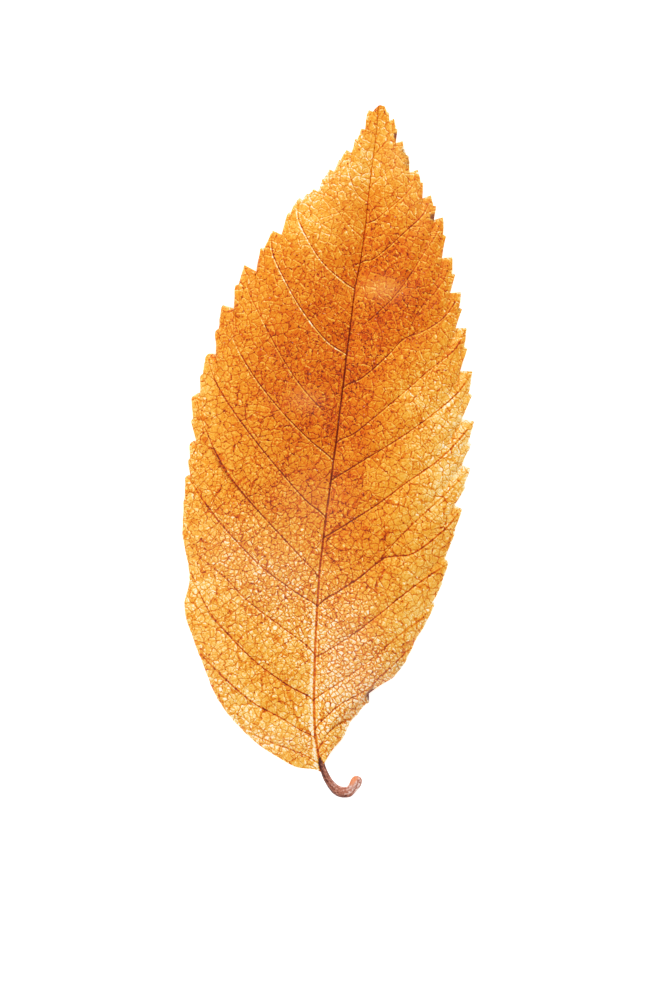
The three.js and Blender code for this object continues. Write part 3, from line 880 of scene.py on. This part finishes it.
# Relief too fine for the mesh: heights of a field's crown, a stout wall, the grain and the bark.
FIELD_RELIEF = 0.02
WALL_RELIEF = -0.02
GRAIN_RELIEF = 0.015
BARK_RELIEF = 0.04


def make_leaf_skin():
    """Dry elm leaf: matt and papery, with a faint waxy sheen on its puckered fields from a low specular, and
    painted highlights on their crowns and on the lit side of the small veins.
    """
    material, add = new_material("dry elm leaf skin")
    known = {name: add("Attribute", attribute_name=name, give="Fac") for name in SKIN_VALUES}
    smoothly = {"interpolation_type": "SMOOTHSTEP"}
    cells = {"voronoi_dimensions": "2D"}
    mixed = {"data_type": "RGBA"}

    def band(distance, begins, full, fades, ends):
        """1 where the distance lies between full and fades, and 0 outside begins and ends."""
        rise = add("MapRange", distance, begins, full, **smoothly)
        fall = add("MapRange", distance, ends, fades, **smoothly)
        return add("Math", rise, fall, operation="MULTIPLY")

    # Object coordinates in millimetres, for clouds, mottling, grain and the spots where crown highlights are
    # painted.
    place = add("VectorMath", add("TexCoord", give="Object"), 1 / MM, operation="SCALE")
    patchy = add("TexNoise", place, 0.28, 2.0, 0.5)
    mottled = add("TexNoise", place, 0.8, 3.0, 0.6)
    grain = add("TexNoise", place, 4.0, 3.0, 0.7)
    crown_highlight_spots = add("TexNoise", place, 1.9, 2.0, 0.6)

    # The midrib gets thinner towards the tip, so it tells the upper half (1) from the lower (0).
    upper = add("MapRange", known["rib"], 0.4, 0.28, **smoothly)
    from_midrib = add("Math", known["midrib"], operation="ABSOLUTE")
    across_rib = add("Math", known["midrib"], known["rib"], operation="DIVIDE")
    on_right = add("Math", known["midrib"], 0.0, operation="GREATER_THAN")

    # The vein net is laid out along and across the side veins, which leave the midrib at half a right
    # angle, and afresh on each side of it.
    up = add("SeparateXYZ", place, give="Y")
    along_veins = add("Math", from_midrib, up, operation="ADD")
    across_veins = add("Math", up, from_midrib, operation="SUBTRACT")
    straight = add("CombineXYZ", along_veins, across_veins, 0.0)
    shift = add("CombineXYZ", add("Math", on_right, HALVES_APART, operation="MULTIPLY"), 0.0, 0.0)
    straight = add("VectorMath", straight, (HALF_RIGHT, HALF_RIGHT, 0), shift, operation="MULTIPLY_ADD")
    warp = add("TexNoise", place, 1.1, 2.0, 0.5, give="Color")
    warp = add("VectorMath", warp, (0.5, 0.5, 0.5), operation="SUBTRACT")
    for_crossing = add("VectorMath", warp, (CROSS_WARP, CROSS_WARP, 0), straight, operation="MULTIPLY_ADD")
    for_net = add("VectorMath", warp, (NET_WARP, NET_WARP, 0), straight, operation="MULTIPLY_ADD")
    light_way = add("Mix", on_right, LIGHT_WAY[0], LIGHT_WAY[1], data_type="VECTOR")

    def net(size):
        """How far each spot is from its field's wall, and how far that wall faces the light."""
        field = add("TexVoronoi", for_net, 1 / size, feature="F1", give="Position", **cells)
        neighbour = add("TexVoronoi", for_net, 1 / size, feature="F2", give="Position", **cells)
        to_wall = add("TexVoronoi", for_net, 1 / size, feature="DISTANCE_TO_EDGE", **cells)
        to_wall = add("Math", to_wall, size, operation="MULTIPLY")
        faces = add("VectorMath", neighbour, field, operation="SUBTRACT")
        faces = add("VectorMath", faces, operation="NORMALIZE")
        lit = add("VectorMath", faces, light_way, operation="DOT_PRODUCT", give="Value")
        return field, to_wall, add("MapRange", lit, 0.1, 0.8, **smoothly)

    field, to_wall, lit = net(FIELD)
    _, to_stout, stout_lit = net(STOUT_FIELD)
    field_tone = add("SeparateColor", field.node.outputs["Color"])

    # The net stops at the midrib, and shows most where the leaf is netted.
    blade = add("MapRange", across_rib, 0.4, 1.0, **smoothly)
    left_blade = add("MapRange", across_rib, -0.4, -1.0, **smoothly)
    blade = add("Math", blade, left_blade, operation="ADD")
    netted = add("MapRange", patchy, 0.35, 0.65, 0.0, 0.22, **smoothly)
    netted = add("Math", netted, known["netted"], operation="ADD", use_clamp=True)
    fine_net = add("MapRange", netted, 0.0, 1.0, 0.15, 1.0)
    fine_wall = add("MapRange", to_wall, *FINE_WALL, 1.0, 0.0, **smoothly)
    fine_wall = add("Math", fine_wall, blade, operation="MULTIPLY")
    fine_wall = add("Math", fine_wall, fine_net, operation="MULTIPLY")
    stout_wall = add("MapRange", to_stout, *STOUT_WALL, 1.0, 0.0, **smoothly)
    stout_wall = add("Math", stout_wall, blade, operation="MULTIPLY")
    stout_wall = add("Math", stout_wall, add("MapRange", upper, 0.0, 1.0, 1.7, 1.0), operation="MULTIPLY")
    # Painted highlights: a pale rim along each wall, on the side that faces the light.
    fine_painted_rim = add("Math", band(to_wall, *FINE_PAINTED_RIM), lit, operation="MULTIPLY")
    fine_painted_rim = add("Math", fine_painted_rim, fine_net, operation="MULTIPLY")
    stout_painted_rim = add("Math", band(to_stout, *STOUT_PAINTED_RIM), stout_lit, operation="MULTIPLY")
    stout_painted_rim = add("Math", stout_painted_rim, add("MapRange", upper, 0.0, 1.0, 0.3, 1.0), operation="MULTIPLY")
    # Painted highlights on the crowns of the puffed fields, strongest where the leaf is netted.
    crown = add("MapRange", to_wall, 0.06, 0.15, **smoothly)
    crown = add("Math", crown, netted, operation="MULTIPLY")
    pale = add("MapRange", crown_highlight_spots, 0.46, 0.66, **smoothly)
    painted_crown_highlight = add("Math", crown, add("Math", pale, 0.35, operation="ADD"), operation="MULTIPLY")

    # The veins that run across from one side vein to the next.
    rungs = (1 / CROSS_VEINS[0], 1 / CROSS_VEINS[1], 0)
    ladder = add("VectorMath", for_crossing, rungs, operation="MULTIPLY")
    ladder = add("TexVoronoi", ladder, 1.0, feature="DISTANCE_TO_EDGE", **cells)
    ladder = add("Math", ladder, CROSS_VEINS[0], operation="MULTIPLY")
    cross_vein = add("MapRange", ladder, *CROSS_VEIN, 1.0, 0.0, **smoothly)
    cross_vein = add("Math", cross_vein, blade, operation="MULTIPLY")
    cross_vein = add("Math", cross_vein, add("MapRange", upper, 0.0, 1.0, 1.0, 0.4), operation="MULTIPLY")
    # Painted highlight: a pale bank beside each cross vein, on the side that faces the light.
    cross_painted_bank = add("Math", band(ladder, *CROSS_PAINTED_BANK), lit, operation="MULTIPLY")

    # Side veins and midrib: a thin dark line, with a painted highlight beside it: a paler line on the lit
    # side of its groove, the foot side of a side vein and the left of the midrib.
    from_vein = add("Math", known["vein"], operation="ABSOLUTE")
    vein_line = add("MapRange", upper, 0.0, 1.0, *SIDE_VEIN_WIDTH)
    vein_line = add("MapRange", from_vein, vein_line, SIDE_VEIN, **smoothly)
    vein_line = add("Math", vein_line, known["vein_shows"], operation="MULTIPLY")
    vein_line = add("Math", vein_line, add("MapRange", upper, 0.0, 1.0, 1.3, 1.0), operation="MULTIPLY")
    # Painted highlight on the lit foot side of each side vein's groove.
    below_vein = add("MapRange", known["above"], -0.5, 0.5, 1.0, 0.15)
    vein_painted_bank = add("Math", band(from_vein, *VEIN_PAINTED_BANK), below_vein, operation="MULTIPLY")
    vein_painted_bank = add("Math", vein_painted_bank, add("MapRange", on_right, 0.0, 1.0, 1.0, 0.5), operation="MULTIPLY")
    vein_painted_bank = add("Math", vein_painted_bank, add("MapRange", upper, 0.0, 1.0, 0.6, 1.4), operation="MULTIPLY")
    vein_painted_bank = add("Math", vein_painted_bank, known["vein_shows"], operation="MULTIPLY")
    rib_line = add("Math", known["rib"], -0.25, from_midrib, operation="MULTIPLY_ADD")
    rib_line = add("MapRange", rib_line, *RIB_LINE, 1.0, 0.0, **smoothly)
    rib_shows = add("MapRange", known["rib"], 0.08, 0.3, 0.4, 0.95)
    rib_line = add("Math", rib_line, rib_shows, operation="MULTIPLY")
    # Painted highlight: a pale band on the midrib's left, the lit side of its groove.
    rib_stout = add("MapRange", known["rib"], 0.34, 0.44, 0.15, 1.0)
    rib_painted_bank = add("Math", band(across_rib, *RIB_PAINTED_BANK), rib_stout, operation="MULTIPLY")

    # Dark specks gather where the skin is ruddy, and the margin is paler.
    speckle = add("TexNoise", place, 2.7, 3.0, 0.7)
    speckle = add("Math", known["ruddy"], 0.12, speckle, operation="MULTIPLY_ADD")
    speckle = add("MapRange", speckle, 0.62, 0.7, **smoothly)
    margin = add("MapRange", known["edge"], 0.1, 0.6, 1.0, 0.0, **smoothly)

    # Pigment: each layer adds some or takes some away, and the whole sets the colour.
    pigment = add("Math", known["ruddy"], PIGMENT_START, operation="ADD")
    layers = [
        (0.27, mottled), (0.66, grain), (0.12, field_tone), (0.28, fine_wall), (0.16, stout_wall),
        (0.22, cross_vein), (-0.14, cross_painted_bank), (-0.2, fine_painted_rim), (-0.22, stout_painted_rim), (-0.34, painted_crown_highlight),
        (0.36, speckle), (-0.2, margin), (0.42, vein_line), (-0.32, vein_painted_bank), (0.5, rib_line),
        (-0.24, rib_painted_bank), (0.05, upper),
    ]
    for amount, layer in layers:
        pigment = add("Math", layer, amount, pigment, operation="MULTIPLY_ADD")
    skin = add("ValToRGB", pigment)
    stops = skin.node.color_ramp.elements
    for position, _ in SKIN_STOPS[1:-1]:
        stops.new(position)
    for stop, (position, shade) in zip(stops, SKIN_STOPS):
        stop.position = position
        stop.color = colour(shade)

    # Faded rosy skin, small painted glints, and scorched spots.
    rosy = add("Math", known["rosy"], 0.25, operation="MULTIPLY", use_clamp=True)
    skin = add("Mix", rosy, skin, colour(FADED_ROSY), **mixed)
    painted_glint = add("TexNoise", place, 3.2, 2.0, 0.6)
    painted_glint = add("MapRange", painted_glint, 0.7, 0.76, 0.0, 0.45, **smoothly)
    skin = add("Mix", painted_glint, skin, colour(PAINTED_GLINT), **mixed)
    scorch = add("Math", grain, 0.9, known["scorch"], operation="MULTIPLY_ADD")
    scorch = add("MapRange", scorch, 0.7, 1.15, 0.0, 0.9, **smoothly)
    skin = add("Mix", scorch, skin, colour(SCORCHED), **mixed)

    # The stalk's bark is purple-brown with lengthwise streaks and painted grey highlights on its palest
    # ridges, and its end a pale orange scar.
    bark_tone = add("Math", grain, 2.2, known["bark"], operation="MULTIPLY_ADD")
    ridges = add("MapRange", bark_tone, 0.95, 1.6, **smoothly)
    bark = add("Mix", ridges, colour(BARK_FURROW), colour(BARK_RIDGE), **mixed)
    bark_sheen = add("MapRange", bark_tone, 1.6, 2.2, **smoothly)
    bark = add("Mix", bark_sheen, bark, colour(PAINTED_BARK_SHEEN), **mixed)
    scar = add("Math", grain, 0.8, known["scar"], operation="MULTIPLY_ADD")
    scar = add("MapRange", scar, 0.6, 1.3, 0.0, 0.8, **smoothly)
    bark = add("Mix", scar, bark, colour(FRESH_SCAR), **mixed)
    skin = add("Mix", known["stalk"], skin, bark, **mixed)

    # Fields are puffed up between their walls, under a papery grain, and the bark is wrinkled.
    relief = add("MapRange", to_wall, 0.0, 0.2, **smoothly)
    relief = add("Math", relief, fine_net, operation="MULTIPLY")
    relief = add("Math", relief, FIELD_RELIEF, operation="MULTIPLY")
    relief = add("Math", stout_wall, WALL_RELIEF, relief, operation="MULTIPLY_ADD")
    relief = add("Math", relief, blade, operation="MULTIPLY")
    relief = add("Math", grain, GRAIN_RELIEF, relief, operation="MULTIPLY_ADD")
    bark_relief = add("Math", known["bark"], known["stalk"], operation="MULTIPLY")
    relief = add("Math", bark_relief, BARK_RELIEF, relief, operation="MULTIPLY_ADD")
    bump = add("Bump", 1.0, MM, None, relief)

    roughness = add("MapRange", grain, 0.3, 0.7, 0.42, 0.6)
    surface = add("BsdfPrincipled", skin, None, roughness)
    surface.node.inputs["Specular IOR Level"].default_value = 0.12
    material.node_tree.links.new(bump, surface.node.inputs["Normal"])
    add("OutputMaterial", surface)
    return material


OPAL = "#F6F6F6"
PANEL_GLOW = 0.6


def make_floor_panel():
    """Opal acrylic over a light panel: even and matt, and it lifts the shadows on it."""
    material, add = new_material("opal acrylic")
    surface = add("BsdfPrincipled", colour(OPAL), None, 0.9)
    surface.node.inputs["Emission Color"].default_value = (1, 1, 1, 1)
    surface.node.inputs["Emission Strength"].default_value = PANEL_GLOW
    add("OutputMaterial", surface)
    return material


# ---- The leaf, its floor, light and camera ----

leaf = make_leaf()
leaf.data.materials.clear()
leaf.data.materials.append(make_leaf_skin())
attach(leaf, "root")
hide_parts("leaf")

FLOOR_SIZE = 3  # metres
bm = bmesh.new()
bmesh.ops.create_grid(bm, x_segments=1, y_segments=1, size=FLOOR_SIZE)
floor = new_object("floor", bm)
floor.data.materials.append(make_floor_panel())

WORLD_GLOW = 0.6
world = bpy.data.worlds.new("studio")
bpy.context.scene.world = world
world.use_nodes = True
world.node_tree.nodes["Background"].inputs["Color"].default_value = (1, 1, 1, 1)
world.node_tree.nodes["Background"].inputs["Strength"].default_value = WORLD_GLOW
bpy.context.scene.view_settings.view_transform = "Standard"

# Soft light from a large panel beyond the tip, and a weaker one from the left: each one's name, its
# place from the middle of the leaf and its width in metres, and its power in watts.
LIGHTS = [
    ("key", (0.25, 0.95, 1.1), 0.45, 9.0),
    ("fill", (-0.8, -0.2, 0.8), 0.7, 4.0),
]
MIDDLE = Vector(((LEAF_LOW[0] + LEAF_HIGH[0]) / 2, (LEAF_LOW[1] + LEAF_HIGH[1]) / 2, 0))
for name, place, width, power in LIGHTS:
    panel = bpy.data.lights.new(name, "AREA")
    panel.shape = "SQUARE"
    panel.size = width
    panel.energy = power
    lamp = bpy.data.objects.new(name, panel)
    lamp.location = MIDDLE + Vector(place)
    lamp.rotation_euler = Vector(place).to_track_quat("Z", "Y").to_euler()
    bpy.context.scene.collection.objects.link(lamp)

# The camera looks straight down; the leaf leans a little clockwise in its view. The view's centre is
# given from the joint, and its height is true at the level of FOCUS_HEIGHT.
VIEW_CENTRE = (-1.19, 36.39)
VIEW_HEIGHT = 135.7
FOCUS_HEIGHT = 1.2
LEAN = math.radians(4.76)
LENS = 135
SENSOR = 36
camera = bpy.data.objects.new("camera", bpy.data.cameras.new("camera"))
camera.data.lens = LENS
camera.data.sensor_width = SENSOR
distance = VIEW_HEIGHT * camera.data.lens / camera.data.sensor_width
camera.location = (
    (JOINT_X + VIEW_CENTRE[0]) * MM,
    (JOINT_Y + VIEW_CENTRE[1]) * MM,
    (distance + FOCUS_HEIGHT) * MM,
)
camera.rotation_euler = (0, 0, LEAN)
bpy.context.scene.collection.objects.link(camera)
bpy.context.scene.camera = camera
